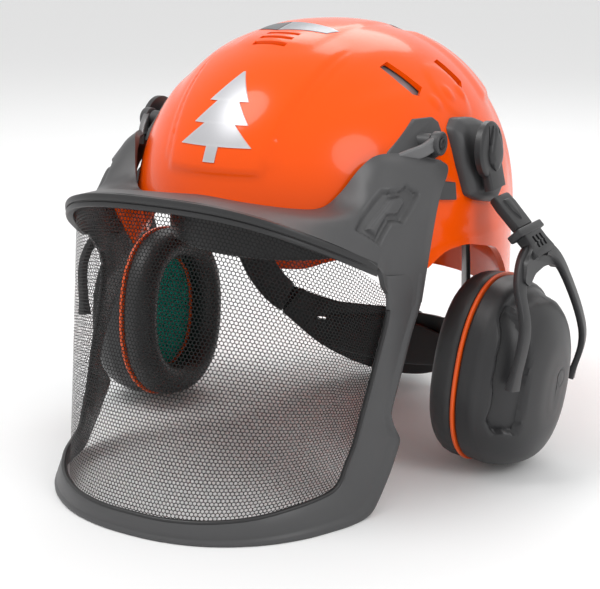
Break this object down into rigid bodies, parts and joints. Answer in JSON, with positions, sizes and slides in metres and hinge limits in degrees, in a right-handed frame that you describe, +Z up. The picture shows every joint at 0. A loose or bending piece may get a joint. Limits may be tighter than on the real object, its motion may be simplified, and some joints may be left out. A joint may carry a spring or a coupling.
{
  "type": "forestry safety helmet",
  "caption": "Forestry safety helmet with a glossy orange shell, hinged grey face visor with black steel mesh, swivelling ear muffs on yokes, and a ratchet harness.",
  "frame": {"origin": "centre of the bounding box, on the floor it stands on", "axes": "+Z up, -Y the wearer's front, +X the wearer's left"},
  "size_m": [0.297, 0.325, 0.235],
  "materials": {
    "shell_orange": "glossy moulded",
    "vent_screen": "fine woven",
    "bracket_grey": "fine grain",
    "pin_steel": "turned",
    "harness_black": "satin moulded",
    "harness_fabric": "woven",
    "knob_black": "soft grip",
    "visor_grey": "satin",
    "rail_black": "satin",
    "mesh_black": "black etched steel mesh",
    "muff_grey": "satin",
    "ring_orange": "satin",
    "foam_green": "open-cell foam",
    "cushion_black": "soft skin"
  },
  "bodies": {
    "helmet": {"shell": "shell_orange", "vent_screen_left": "vent_screen", "vent_screen_right": "vent_screen", "visor_bracket_left": "bracket_grey", "visor_bracket_right": "bracket_grey", "ear_adapter_left": "bracket_grey", "ear_adapter_right": "bracket_grey", "visor_pin_left": "pin_steel", "visor_pin_right": "pin_steel", "headband": "harness_black", "nape_cradle": "harness_black", "ratchet_housing": "harness_black", "harness_clip_front_left": "harness_black", "harness_clip_front_right": "harness_black", "harness_clip_rear_left": "harness_black", "harness_clip_rear_right": "harness_black", "sweatband": "harness_fabric", "nape_pad": "harness_fabric", "crown_strap_long": "harness_fabric", "crown_strap_cross": "harness_fabric"},
    "knob": {"ratchet_knob": "knob_black"},
    "visor": {"visor_peak": "visor_grey", "visor_frame": "visor_grey", "visor_lip_rail": "rail_black", "visor_mesh": "mesh_black", "stop_block_left": "rail_black", "stop_block_right": "rail_black"},
    "swivel_left": {"swivel_disc_left": "muff_grey"},
    "link_left": {"arm_link_left": "muff_grey"},
    "yoke_left": {"yoke_left": "muff_grey"},
    "muff_left": {"ear_cup_left": "muff_grey", "cup_ring_left": "ring_orange", "ear_foam_left": "foam_green", "ear_cushion_left": "cushion_black"},
    "swivel_right": {"swivel_disc_right": "muff_grey"},
    "link_right": {"arm_link_right": "muff_grey"},
    "yoke_right": {"yoke_right": "muff_grey"},
    "muff_right": {"ear_cup_right": "muff_grey", "cup_ring_right": "ring_orange", "ear_foam_right": "foam_green", "ear_cushion_right": "cushion_black"}
  },
  "joints": [
    {"name": "visor_hinge", "type": "hinge", "parent": "helmet", "child": "visor", "pos_m": [0, -0.01355, 0.179], "axis": [-1, 0, 0], "range_deg": [0, 90]},
    {"name": "ratchet_turn", "type": "hinge", "parent": "helmet", "child": "knob", "pos_m": [0, 0.13745, 0.028], "axis": [0, 1, 0], "continuous": true},
    {"name": "arm_swing_left", "type": "hinge", "parent": "helmet", "child": "swivel_left", "pos_m": [0.102, 0.01745, 0.171], "axis": [1, 0, 0], "range_deg": [-8, 6]},
    {"name": "pull_out_left", "type": "hinge", "parent": "swivel_left", "child": "link_left", "pos_m": [0.1105, 0.01875, 0.1495], "axis": [0, -1, 0], "range_deg": [0, 32]},
    {"name": "height_slide_left", "type": "slide", "parent": "link_left", "child": "yoke_left", "axis": [0.6872, 0.0079, -0.7264], "range_m": [0, 0.012]},
    {"name": "cup_tilt_left", "type": "hinge", "parent": "yoke_left", "child": "muff_left", "pos_m": [0.14053, 0.02055, 0.05217], "axis": [-0.018, -0.9822, 0.187], "range_deg": [-7, 7]},
    {"name": "arm_swing_right", "type": "hinge", "parent": "helmet", "child": "swivel_right", "pos_m": [-0.102, 0.01745, 0.171], "axis": [1, 0, 0], "range_deg": [-8, 6]},
    {"name": "pull_out_right", "type": "hinge", "parent": "swivel_right", "child": "link_right", "pos_m": [-0.1105, 0.01875, 0.1495], "axis": [0, 1, 0], "range_deg": [0, 32]},
    {"name": "height_slide_right", "type": "slide", "parent": "link_right", "child": "yoke_right", "axis": [-0.6872, 0.0079, -0.7264], "range_m": [0, 0.012]},
    {"name": "cup_tilt_right", "type": "hinge", "parent": "yoke_right", "child": "muff_right", "pos_m": [-0.14053, 0.02055, 0.05217], "axis": [0.018, -0.9822, 0.187], "range_deg": [-7, 7]}
  ]
}
